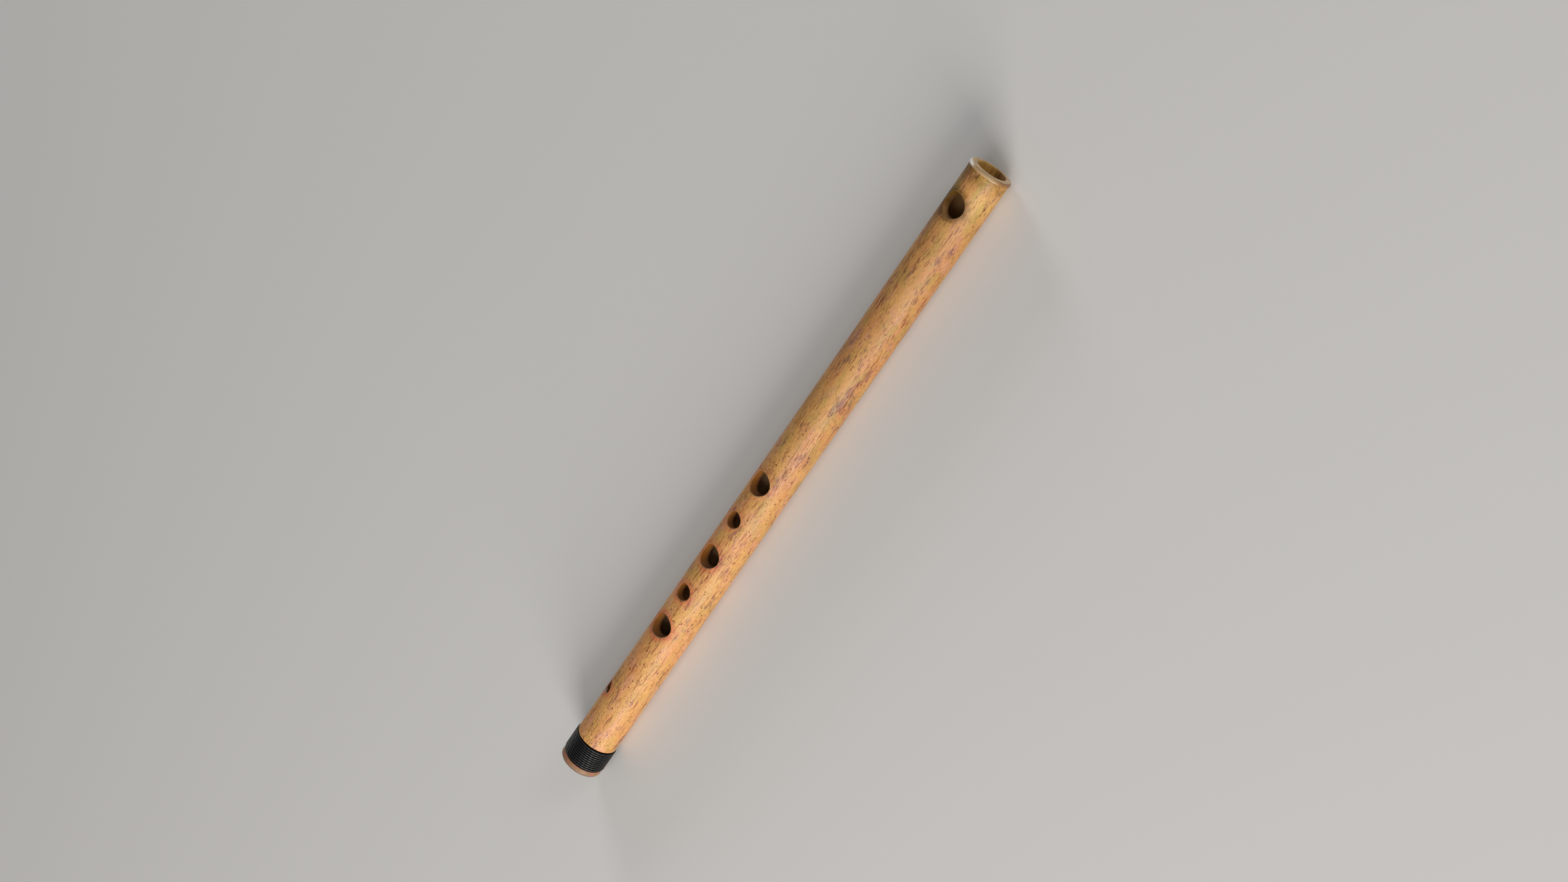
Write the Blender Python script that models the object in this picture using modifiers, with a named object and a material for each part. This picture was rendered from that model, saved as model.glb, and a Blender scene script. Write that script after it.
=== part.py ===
"""A transverse bamboo flute: a bamboo tube, a cork stopper inside its head and a cord bound round its foot.

Metres, +Z up. +X runs along the tube towards the head, and the blow hole faces +Z. The origin is on the
surface that the flute lies on, below the middle of its length. Places along the flute are measured from
the end face of the head.
"""
import math

import bmesh
import bpy
from mathutils import Vector

# The culm: a tube that swells slowly towards the foot.
LENGTH = 0.400
BORE_RADIUS = 0.0075
HEAD_RADIUS = 0.01105
FOOT_SWELL = 0.00092
SWELL_POWER = 2.2
WALL_STATIONS = 9

# The rounded rims. Each has a flat end face, a rolled edge out to a ridge, and a flare down to the tube.
MOUTH_OPENING = 0.0006
MOUTH_DEPTH = 0.0011
RIDGE_DISTANCE = 0.00166
HEAD_FACE_RADIUS = 0.01020
HEAD_RIDGE_RADIUS = 0.01156
HEAD_FLARE_LENGTH = 0.0030
FOOT_FACE_RADIUS = 0.01065
FOOT_RIDGE_RADIUS = 0.01212
FOOT_FLARE_LENGTH = 0.0018
RIM_STEPS = 4
FLARE_STEPS = 3
MOUTH_STEPS = 2

# The holes at the skin: name, centre from the head, half length, half width, and turn from +Z towards +Y
# in degrees. Then the same holes at the bore: how far the wall has leant towards the head and towards -Y on
# its way down, and the half length and half width there.
HOLES = (
    ("blow_hole", 0.0224, 0.00675, 0.00655, -0.3, 0.0010, 0.0010, 0.00675, 0.00545),
    ("finger_hole_1", 0.1983, 0.00660, 0.00620, -0.5, 0.0014, 0.0012, 0.00630, 0.00535),
    ("finger_hole_2", 0.2231, 0.00445, 0.00455, 0.9, 0.0009, 0.0009, 0.00445, 0.00455),
    ("finger_hole_3", 0.2480, 0.00645, 0.00610, -0.8, 0.0018, 0.0012, 0.00625, 0.00525),
    ("finger_hole_4", 0.2736, 0.00450, 0.00460, 1.2, 0.0009, 0.0009, 0.00450, 0.00460),
    ("finger_hole_5", 0.2971, 0.00650, 0.00640, -0.2, 0.0018, 0.0012, 0.00630, 0.00550),
    ("finger_hole_6", 0.3489, 0.00395, 0.00420, 38.5, 0.0, 0.0, 0.00395, 0.00420),
)
HOLE_SIDES = 24
CUTTER_START = 0.001
CUTTER_END = 0.018

# The binding: one cord wound round the foot, in a seat cut into the culm.
TURNS = 10
PITCH = 0.001355
CORD_RADIUS = 0.0006
BINDING_RADIUS = 0.01245
BINDING_START = 0.38165
CORD_STEPS = 24
CORD_BEVEL_RESOLUTION = 2
CORD_START_TURN = math.radians(37.5)
FIT_GAP = 0.0003

# The stopper: a plug of cork between the blow hole and the open end of the head.
STOPPER_START = 0.0055
STOPPER_LENGTH = 0.0090
STOPPER_CLEARANCE = 0.0001
STOPPER_CHAMFER = 0.0005

SIDES = 48
MERGE_DISTANCE = 0.00001
SMOOTH_ANGLE = math.radians(35)
AXIS_HEIGHT = BINDING_RADIUS


def clear_scene():
    for obj in list(bpy.data.objects):
        bpy.data.objects.remove(obj, do_unlink=True)


def new_collection(name):
    collection = bpy.data.collections.new(name)
    bpy.context.scene.collection.children.link(collection)
    return collection


def plain_material(name, color, roughness):
    material = bpy.data.materials.new(name)
    material.use_nodes = True
    shader = material.node_tree.nodes["Principled BSDF"]
    shader.inputs["Base Color"].default_value = (*color, 1.0)
    shader.inputs["Roughness"].default_value = roughness
    shader.inputs["Metallic"].default_value = 0.0
    return material


def along(distance):
    """Place on the flute's own axis, which its objects hold as local Z, of a distance from the head."""
    return LENGTH / 2 - distance


def lay_down(obj):
    """Turn local Z onto +X and lift the axis, so that the binding touches the ground."""
    obj.rotation_euler = (0.0, math.pi / 2, 0.0)
    obj.location = (0.0, 0.0, AXIS_HEIGHT)


def turned_object(name, profile, closed, collection):
    """A profile of (radius, distance from the head) turned about the flute's axis, a flat side down."""
    half_step = math.pi / SIDES
    points = []
    for radius, distance in profile:
        points.append((radius * math.cos(half_step), radius * math.sin(half_step), along(distance)))
    edges = [(index, index + 1) for index in range(len(points) - 1)]
    if closed:
        edges.append((len(points) - 1, 0))
    mesh = bpy.data.meshes.new(name)
    mesh.from_pydata(points, edges, [])
    obj = bpy.data.objects.new(name, mesh)
    collection.objects.link(obj)
    screw = obj.modifiers.new("Turn", "SCREW")
    screw.axis = "Z"
    screw.angle = 2 * math.pi
    screw.steps = SIDES
    screw.render_steps = SIDES
    screw.use_merge_vertices = True
    screw.merge_threshold = MERGE_DISTANCE
    lay_down(obj)
    return obj


def shade_round(obj):
    """Apply the object's modifiers and shade its round sides smooth, with its corners kept sharp."""
    bpy.context.view_layer.update()
    evaluated = obj.evaluated_get(bpy.context.evaluated_depsgraph_get())
    mesh = bpy.data.meshes.new_from_object(evaluated)
    obj.modifiers.clear()
    obj.data = mesh
    mesh.shade_smooth()
    mesh.set_sharp_from_angle(angle=SMOOTH_ANGLE)


def tube_radius(distance):
    return HEAD_RADIUS + FOOT_SWELL * (distance / LENGTH) ** SWELL_POWER


def rim_points(face_radius, ridge_radius, flare_length, tube_end_radius):
    """(radius, distance from the end) over a rim's outside, from its end face to the plain tube."""
    points = []
    for step in range(RIM_STEPS + 1):
        angle = math.pi / 2 * step / RIM_STEPS
        radius = face_radius + (ridge_radius - face_radius) * math.sin(angle)
        points.append((radius, RIDGE_DISTANCE * (1 - math.cos(angle))))
    for step in range(1, FLARE_STEPS + 1):
        part = step / FLARE_STEPS
        radius = tube_end_radius + (ridge_radius - tube_end_radius) * (1 - part) ** 2
        points.append((radius, RIDGE_DISTANCE + flare_length * part))
    return points


def mouth_points():
    """(radius, distance from the end) from the bore out to the end face, over its eased inner edge."""
    points = []
    for step in range(MOUTH_STEPS + 1):
        angle = math.pi / 2 * step / MOUTH_STEPS
        radius = BORE_RADIUS + MOUTH_OPENING * (1 - math.cos(angle))
        points.append((radius, MOUTH_DEPTH * (1 - math.sin(angle))))
    return points


def seat_ends():
    """The seat's two edges: the cord's reach at its first and last turn, with the fit gap."""
    margin = CORD_RADIUS + FIT_GAP
    return BINDING_START - margin, BINDING_START + TURNS * PITCH + margin


def tube_profile():
    """The wall's outline: down the outside from head to foot, then back up the bore."""
    seat_start, seat_end = seat_ends()
    seat_radius = BINDING_RADIUS - 2 * CORD_RADIUS - FIT_GAP
    head_rim = rim_points(HEAD_FACE_RADIUS, HEAD_RIDGE_RADIUS, HEAD_FLARE_LENGTH, HEAD_RADIUS)
    foot_rim = rim_points(FOOT_FACE_RADIUS, FOOT_RIDGE_RADIUS, FOOT_FLARE_LENGTH, tube_radius(LENGTH))
    wall_start = head_rim[-1][1]
    profile = list(head_rim)
    for station in range(1, WALL_STATIONS + 1):
        distance = wall_start + (seat_start - wall_start) * station / WALL_STATIONS
        profile.append((tube_radius(distance), distance))
    profile.append((seat_radius, seat_start))
    profile.append((seat_radius, seat_end))
    profile.append((tube_radius(seat_end), seat_end))
    for radius, distance in reversed(foot_rim):
        profile.append((radius, LENGTH - distance))
    for radius, distance in reversed(mouth_points()):
        profile.append((radius, LENGTH - distance))
    profile.extend(mouth_points())
    return profile


def hole_cutter(hole, collection):
    """An oval rod from just above the flute's axis out through one wall.

    Its length is set where the skin and the bore are highest, which is at the ends of the hole, and its
    width where they are lowest, which is at the hole's sides. Between and beyond, it changes evenly.
    """
    name, distance, half_length, half_width, turn, lean, slant, bore_half_length, bore_half_width = hole
    mesh = bpy.data.meshes.new(name)
    rod = bmesh.new()
    bmesh.ops.create_cone(
        rod,
        cap_ends=True,
        segments=HOLE_SIDES,
        radius1=1.0,
        radius2=1.0,
        depth=CUTTER_END - CUTTER_START,
    )
    bmesh.ops.translate(rod, vec=(0.0, 0.0, (CUTTER_START + CUTTER_END) / 2), verts=rod.verts)
    skin_end = tube_radius(distance)
    skin_side = math.sqrt(skin_end ** 2 - half_width ** 2)
    bore_side = math.sqrt(BORE_RADIUS ** 2 - bore_half_width ** 2)
    for vertex in rod.verts:
        end_part = (skin_end - vertex.co.z) / (skin_end - BORE_RADIUS)
        side_part = (skin_side - vertex.co.z) / (skin_side - bore_side)
        vertex.co.x *= half_length + (bore_half_length - half_length) * end_part
        vertex.co.y *= half_width + (bore_half_width - half_width) * side_part
        vertex.co.x += lean * (end_part + side_part) / 2
        vertex.co.y -= slant * side_part
    rod.to_mesh(mesh)
    rod.free()
    cutter = bpy.data.objects.new(name + "_cutter", mesh)
    cutter.location = Vector((along(distance), 0.0, AXIS_HEIGHT))
    cutter.rotation_euler = (-math.radians(turn), 0.0, 0.0)
    cutter.hide_render = True
    cutter.display_type = "WIRE"
    collection.objects.link(cutter)
    return cutter


def make_tube(parts, cutters):
    tube = turned_object("bamboo_tube", tube_profile(), True, parts)
    for hole in HOLES:
        cut = tube.modifiers.new(hole[0], "BOOLEAN")
        cut.operation = "DIFFERENCE"
        cut.solver = "EXACT"
        cut.object = hole_cutter(hole, cutters)
    shade_round(tube)
    tube.data.materials.clear()
    tube.data.materials.append(plain_material("bamboo", (0.50, 0.27, 0.10), 0.45))


def make_stopper(parts):
    radius = BORE_RADIUS - STOPPER_CLEARANCE
    end = STOPPER_START + STOPPER_LENGTH
    profile = [
        (0.0, STOPPER_START),
        (radius - STOPPER_CHAMFER, STOPPER_START),
        (radius, STOPPER_START + STOPPER_CHAMFER),
        (radius, end - STOPPER_CHAMFER),
        (radius - STOPPER_CHAMFER, end),
        (0.0, end),
    ]
    stopper = turned_object("head_stopper", profile, False, parts)
    shade_round(stopper)
    stopper.data.materials.append(plain_material("cork", (0.46, 0.28, 0.14), 0.85))


def make_binding(parts):
    """The cord is a coil whose flats, and not its corners, lie at the binding's radius."""
    coil_radius = (BINDING_RADIUS - CORD_RADIUS) / math.cos(math.pi / CORD_STEPS)
    curve = bpy.data.curves.new("foot_binding", "CURVE")
    curve.dimensions = "3D"
    curve.bevel_depth = CORD_RADIUS
    curve.bevel_resolution = CORD_BEVEL_RESOLUTION
    curve.use_fill_caps = True
    spline = curve.splines.new("POLY")
    spline.points.add(TURNS * CORD_STEPS)
    for index, point in enumerate(spline.points):
        turned = index / CORD_STEPS
        angle = CORD_START_TURN + 2 * math.pi * turned
        place = along(BINDING_START + PITCH * turned)
        point.co = (coil_radius * math.cos(angle), coil_radius * math.sin(angle), place, 1.0)
    cord = bpy.data.objects.new("foot_binding", curve)
    lay_down(cord)
    parts.objects.link(cord)
    curve.materials.append(plain_material("binding_cord", (0.02, 0.02, 0.022), 0.60))


def main():
    clear_scene()
    parts = new_collection("bamboo_flute")
    cutters = new_collection("bamboo_flute_cutters")
    make_tube(parts, cutters)
    make_stopper(parts)
    make_binding(parts)


main()
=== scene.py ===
"""The looks of the bamboo flute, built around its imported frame.

The frame gives the flute's length, its axis and its bodies. Each CAD node is replaced by a finer mesh:
the culm with eased holes and rolled rims, the cord with twisted strands, and the cork with its pores.
Lengths are in metres, but the node materials count in millimetres. Places along the flute are distances from
the end face of the head.
"""
import math
from collections import namedtuple

import bmesh
import bpy
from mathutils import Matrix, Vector, noise


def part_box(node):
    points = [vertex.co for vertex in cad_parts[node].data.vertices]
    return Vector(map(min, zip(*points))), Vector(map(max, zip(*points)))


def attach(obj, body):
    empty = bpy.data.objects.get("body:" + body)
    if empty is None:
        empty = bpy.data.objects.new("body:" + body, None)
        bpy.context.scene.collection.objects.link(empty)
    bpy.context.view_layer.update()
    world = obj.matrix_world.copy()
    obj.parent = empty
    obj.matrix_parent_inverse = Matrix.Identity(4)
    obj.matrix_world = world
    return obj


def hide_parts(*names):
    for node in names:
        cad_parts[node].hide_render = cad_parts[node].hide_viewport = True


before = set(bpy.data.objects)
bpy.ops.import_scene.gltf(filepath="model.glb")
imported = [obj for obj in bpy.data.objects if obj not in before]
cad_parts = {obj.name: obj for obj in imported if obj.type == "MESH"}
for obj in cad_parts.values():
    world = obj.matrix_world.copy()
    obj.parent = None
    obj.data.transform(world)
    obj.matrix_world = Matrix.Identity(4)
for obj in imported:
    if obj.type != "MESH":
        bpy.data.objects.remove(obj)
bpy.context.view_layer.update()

MM = 0.001
TUBE_LOW, TUBE_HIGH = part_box("bamboo_tube")
STOPPER_LOW, STOPPER_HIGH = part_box("head_stopper")
HEAD_X = TUBE_HIGH[0]
LENGTH = TUBE_HIGH[0] - TUBE_LOW[0]
AXIS_HEIGHT = (TUBE_LOW[2] + TUBE_HIGH[2]) / 2

# The culm, as in the CAD. It swells from the head to the foot.
BORE_RADIUS = 7.50 * MM
HEAD_RADIUS = 11.05 * MM
FOOT_SWELL = 0.92 * MM
SWELL_POWER = 2.2

# The rims, from the mouth's eased edge over a domed face and a ridge to the flare behind it.
MOUTH_OPENING = 0.62 * MM
MOUTH_DEPTH = 1.1 * MM
RIDGE_DISTANCE = 1.66 * MM
FACE_DOME = 0.10 * MM
HEAD_FACE_RADIUS = 10.20 * MM
HEAD_RIDGE_RADIUS = 11.56 * MM
HEAD_FLARE = 2.6 * MM
FOOT_FACE_RADIUS = 10.65 * MM
FOOT_RIDGE_RADIUS = 12.10 * MM
FOOT_FLARE = 1.6 * MM
FLARE_POWER = 2.5

# The seat of the binding, and the cord in it.
BINDING_RADIUS = 12.43 * MM
CORD_THICKNESS = 1.25 * MM
CORD_WIDTH = 1.18 * MM
TURNS = 10
PITCH = 1.355 * MM
BINDING_START = 381.65 * MM
SEAT_SLACK = 0.15 * MM

# The holes' ovals at the skin, from the blow hole to the last one by the cord. The turn is from +Z towards
# +Y in degrees. A wall leans towards the head and -Y on its way down, and meets the bore in the second oval.
Oval = namedtuple("Oval", "centre side half_length half_width turn")
HOLES = (
    Oval(22.4 * MM, 0.0, 6.75 * MM, 6.55 * MM, -0.3),
    Oval(198.3 * MM, 0.0, 6.60 * MM, 6.20 * MM, -0.5),
    Oval(223.1 * MM, 0.0, 4.45 * MM, 4.55 * MM, 0.9),
    Oval(248.0 * MM, 0.0, 6.45 * MM, 6.10 * MM, -0.8),
    Oval(273.6 * MM, 0.0, 4.50 * MM, 4.60 * MM, 1.2),
    Oval(297.1 * MM, 0.0, 6.50 * MM, 6.40 * MM, -0.2),
    Oval(348.9 * MM, 0.0, 3.95 * MM, 4.20 * MM, 38.5),
)
BORE_ENDS = (
    Oval(21.4 * MM, -1.0 * MM, 6.75 * MM, 5.45 * MM, -0.3),
    Oval(196.9 * MM, -1.2 * MM, 6.30 * MM, 5.35 * MM, -0.5),
    Oval(222.2 * MM, -0.9 * MM, 4.45 * MM, 4.55 * MM, 0.9),
    Oval(246.2 * MM, -1.2 * MM, 6.25 * MM, 5.25 * MM, -0.8),
    Oval(272.7 * MM, -0.9 * MM, 4.50 * MM, 4.60 * MM, 1.2),
    Oval(295.3 * MM, -1.2 * MM, 6.30 * MM, 5.50 * MM, -0.2),
    Oval(348.9 * MM, 0.0, 3.95 * MM, 4.20 * MM, 38.5),
)
WIDE_HOLE = 5.5 * MM
EDGE_EASE = 0.65 * MM
INNER_EASE = 0.20 * MM

# The seat's place, which follows from the cord. Its edge on the head's side is broken in two steps.
SEAT_RADIUS = BINDING_RADIUS - CORD_THICKNESS
SEAT_START = BINDING_START - CORD_WIDTH / 2 - SEAT_SLACK
SEAT_END = BINDING_START + TURNS * PITCH + CORD_WIDTH / 2 + SEAT_SLACK
SEAT_EASE = 0.15 * MM
SEAT_BREAK_ALONG = 0.3 * SEAT_EASE
SEAT_BREAK_DEEP = 0.25 * SEAT_EASE

# The culm's slight unevenness: waves round it, each with its share, lobes, drift along the culm and start.
Wave = namedtuple("Wave", "share lobes drift start")
WAVES = (Wave(0.6, 2, 7.0, 0.0), Wave(0.4, 3, -15.0, 1.0))
WOBBLE = 0.05 * MM
WOBBLE_MARGIN = 5.0 * MM
WOBBLE_FADE = 20.0 * MM

# Mesh fineness. A window is the patch of mesh round a hole, counted in cells: along it, and across to each
# side of its middle, for wide holes and narrow ones.
Cells = namedtuple("Cells", "across_wide across_narrow along_wide along_narrow")
AROUND = 120
CELL_ANGLE = 2 * math.pi / AROUND
OUTER_STEP = 1.5 * MM
INNER_STEP = 4.0 * MM
WINDOW_MARGIN = 1.5 * MM
OUTER_CELLS = Cells(15, 10, 30, 20)
INNER_CELLS = Cells(24, 20, 12, 8)
BLEND_LAYERS = 6
BLEND_POWER = 0.7
EASE_STEPS = 5
WALL_LAYERS = 7
MOUTH_STEPS = 6
FACE_STEPS = 5
ROLL_STEPS = 9
FLARE_STEPS = 8
RIM_REACH = 0.25 * MM

# The culm's materials, in the order of its slots.
SKIN, RIM, INSIDE, HOLE_WALL = range(4)

# The cord's strands, and its ends, which dive under the next turn and grow thinner.
CORD_START = math.pi - math.radians(37.5)
CORD_STEP = 0.30 * MM
CORD_SIDES = 18
CORD_SLACK = 0.03 * MM
SLACK_CHANGE = 1.7
PLIES = 3
PLY_TWIST = 2.4 * MM
PLY_DEPTH = 0.14
TUCK_TURNS = 0.07
TUCK_DEPTH = 0.8 * CORD_THICKNESS
TUCK_SHIFT = 0.7 * PITCH
TUCK_THINNING = 0.45

# The cork, with broad hollows and pores pressed into it. Their scales are those of noise over millimetres.
STOPPER_RADIUS = 7.46 * MM
STOPPER_CHAMFER = 0.5 * MM
STOPPER_RINGS = 14
CHAMFER_STEPS = 5
HOLLOW_SCALE = 0.45
HOLLOW_DEPTH = 0.05 * MM
PORE_SCALE = 1.3
PORE_LEVEL = 0.30
PORE_DEPTH = 0.75 * MM


# ---------------------------------------------------------------- camera, floor and lights

CAMERA_PLACE = (0.4598, -0.5982, 0.8209)
CAMERA_TURN = (6.28, 42.454, -45.024)
LENS = 50.0
FILM_WIDTH = 36.0
FLOOR_REACH = 4.0
FLOOR_COLOR = (0.78, 0.77, 0.75, 1.0)
FLOOR_ROUGHNESS = 0.85
WORLD_COLOR = (1.0, 0.98, 0.96, 1.0)
WORLD_STRENGTH = 0.15

# Square area lights that shine on the flute's middle from the directions given.
Softbox = namedtuple("Softbox", "name toward distance size power color", defaults=((1.0, 1.0, 1.0),))
SOFTBOXES = (
    Softbox("key", (-0.42, -0.95, 0.32), 3.0, 1.7, 84.0, (1.0, 0.975, 0.95)),
    Softbox("top", (-0.20, -0.50, 0.85), 3.0, 1.8, 16.0),
    Softbox("back", (0.40, 1.0, 0.26), 3.2, 0.9, 28.5),
    Softbox("head_side", (0.95, -0.40, 0.40), 3.2, 1.1, 12.5),
)


def make_camera():
    data = bpy.data.cameras.new("camera")
    data.lens = LENS
    data.sensor_width = FILM_WIDTH
    camera = bpy.data.objects.new("camera", data)
    camera.location = CAMERA_PLACE
    camera.rotation_euler = [math.radians(angle) for angle in CAMERA_TURN]
    bpy.context.scene.collection.objects.link(camera)
    bpy.context.scene.camera = camera


def make_softbox(box):
    data = bpy.data.lights.new(box.name, "AREA")
    data.shape = "SQUARE"
    data.size = box.size
    data.energy = box.power
    data.color = box.color
    light = bpy.data.objects.new(box.name, data)
    direction = Vector(box.toward).normalized()
    light.location = direction * box.distance
    light.rotation_euler = direction.to_track_quat("Z", "Y").to_euler()
    bpy.context.scene.collection.objects.link(light)


def make_floor():
    mesh = bpy.data.meshes.new("floor")
    shape = bmesh.new()
    bmesh.ops.create_grid(shape, x_segments=1, y_segments=1, size=FLOOR_REACH)
    shape.to_mesh(mesh)
    shape.free()
    floor = bpy.data.objects.new("floor", mesh)
    bpy.context.scene.collection.objects.link(floor)
    material = bpy.data.materials.new("floor")
    material.use_nodes = True
    shader = material.node_tree.nodes["Principled BSDF"]
    shader.inputs["Base Color"].default_value = FLOOR_COLOR
    shader.inputs["Roughness"].default_value = FLOOR_ROUGHNESS
    mesh.materials.append(material)


def make_world():
    world = bpy.data.worlds.new("studio")
    world.use_nodes = True
    background = world.node_tree.nodes["Background"]
    background.inputs["Color"].default_value = WORLD_COLOR
    background.inputs["Strength"].default_value = WORLD_STRENGTH
    bpy.context.scene.world = world


def make_studio():
    bpy.context.scene.view_settings.view_transform = "Standard"
    make_camera()
    make_floor()
    make_world()
    for box in SOFTBOXES:
        make_softbox(box)


# ---------------------------------------------------------------- node materials

# Materials count in millimetres: x from the flute's middle to its head, y to its back, z up from its axis.
# A zone is the stretch of x over which a change sets in.
HEADWARD_ZONE = (-190.0, 190.0)
FINGER_HOLE_ZONE = (-100.0, 0.0)
BLOW_HOLE_ZONE = (140.0, 160.0)
DULL_ZONE = (150.0, 172.0)
PALE_ZONE = (172.0, 187.0)
UNDER_RIM_ZONE = (189.0, 196.0)
BLUSH_ZONE = (-194.6, -195.4)
FOOT_EDGE_ZONE = (-197.4, -198.3)
LIP_ZONE = (-150.5, -152.0)
WALL_LIP_ZONE = (-151.7, -152.5)
OLIVE_ZONE = (171.5, 177.0)

# The cord's seat is the skin past SEAT_BEGINS and closer to the axis than SEAT_BELOW.
SEAT_BEGINS = -170.0
SEAT_BELOW = 11.6

# The direction of the upper back, and the place without its x.
BACK_SHARE = 0.80
UP_SHARE = 0.59
SIDEWAYS = (0.0, 1.0, 1.0)

# The roughness of noise that draws fibres, and a distance past the reach of every mark round a hole.
FIBRE_ROUGHNESS = 0.6
FAR_AWAY = 100.0

# The skin's colours, and the tints that its colour is multiplied by.
GOLD = (0.740, 0.398, 0.122)
ORANGE = (0.725, 0.334, 0.114)
PINK = (0.730, 0.358, 0.188)
OLIVE = (0.580, 0.362, 0.097)
DULL_HEAD = (0.77, 0.75, 0.73)
DARK_GRAIN = (0.70, 0.62, 0.60)
PALE_GRAIN = (1.16, 1.20, 1.32)
BROWN_DASH = (0.58, 0.44, 0.42)
MAUVE_DASH = (0.50, 0.44, 0.74)
MAUVE_HAZE = (0.68, 0.62, 0.88)
BROWN_STREAK = (0.52, 0.36, 0.32)
DARK_SPECK = (0.38, 0.26, 0.24)
REDDENED = (0.92, 0.48, 0.66)
DAMP_STAIN = (0.40, 0.37, 0.20)
WORN_FRONT = (0.390, 0.215, 0.070)
WORN_BACK = (0.230, 0.110, 0.040)
LIP_PAINTED_HIGHLIGHT = (0.560, 0.390, 0.300)
PALE_END = (1.20, 1.34, 1.30)
BACK_PAINTED_SHADE = (0.62, 0.64, 0.48)
RIM_DIRT_AND_SHADE = (0.54, 0.54, 0.29)
RUBBED_PINK = (0.350, 0.118, 0.096)
RUBBED_BROWN = (0.215, 0.148, 0.066)
FOOT_EDGE = (0.290, 0.190, 0.110)
SEAT_PAINTED_SHADE = (0.06, 0.06, 0.06)

# The rims' ground and the marks in it, the tints of their faces, the painted shade of their low sides,
# the tint of their foot end, and their painted highlights.
RIM_PALE = (0.600, 0.370, 0.150)
RIM_DARK = (0.500, 0.290, 0.105)
RIM_TURNED = (0.300, 0.190, 0.100)
RIM_RING = (0.640, 0.490, 0.340)
RIM_PORE = (0.220, 0.130, 0.070)
RIM_FACE = (1.22, 1.30, 1.45)
RIM_PAINTED_SHADE = (0.56, 0.38, 0.18)
RIM_FOOT = (0.43, 0.36, 0.48)
HEAD_PAINTED_HIGHLIGHT = (0.900, 0.860, 0.800)
FOOT_PAINTED_HIGHLIGHT = (0.330, 0.200, 0.130)

# The bore: painted light on its upper side and painted shade on its lower side near the ends, each mixed by
# the grain, and painted light and shade for its parts inside, which are mixed from the finger holes to the
# blow hole.
BORE_UPPER_PAINTED_LIGHT = ((0.740, 0.460, 0.130), (0.460, 0.250, 0.062))
BORE_LOWER_PAINTED_SHADE = ((0.300, 0.145, 0.036), (0.120, 0.052, 0.013))
BORE_FOOT = (0.66, 0.64, 0.80)
BORE_INSIDE_PAINTED_LIGHT = ((0.990, 0.650, 0.360), (0.560, 0.310, 0.130))
BORE_INSIDE_PAINTED_SHADE = ((0.200, 0.110, 0.040), (0.440, 0.240, 0.100))

# The holes' walls: ochre at the back, the blow hole's own pair, the dark of the drill's marks, painted shade
# for their depth and front side, and a painted highlight for the last hole's lip.
WALL_OCHRE = ((0.240, 0.076, 0.004), (0.225, 0.080, 0.014))
WALL_FRONT = (0.190, 0.070, 0.020)
BLOW_WALL = ((0.380, 0.190, 0.068), (0.098, 0.044, 0.002))
WALL_SCORE = (0.120, 0.055, 0.020)
WALL_DEPTH_SHADE = (0.065, 0.027, 0.010)
WALL_SHADE = (0.042, 0.018, 0.007)
WALL_LIP_PAINTED_HIGHLIGHT = (0.720, 0.480, 0.360)

# The cord, with painted shade for its crevices, and the cork.
CORD_BLACK = (0.005, 0.005, 0.0055)
CORD_GREY = (0.016, 0.016, 0.017)
CORD_CREVICE_SHADE = (0.003, 0.003, 0.003)
CORK_PALE = (0.50, 0.29, 0.145)
CORK_DARK = (0.36, 0.19, 0.085)
CORK_WALLS = (0.60, 0.39, 0.22)
CORK_PORE = (0.085, 0.035, 0.015)

# The skin's specks: cells to a millimetre, size within a cell, share that shows, and a shift of the pattern.
Specks = namedtuple("Specks", "scale size share offset")
SPECKS = (Specks(0.36, 0.205, 0.90, 3.0), Specks(0.74, 0.215, 0.65, 9.0))


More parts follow.
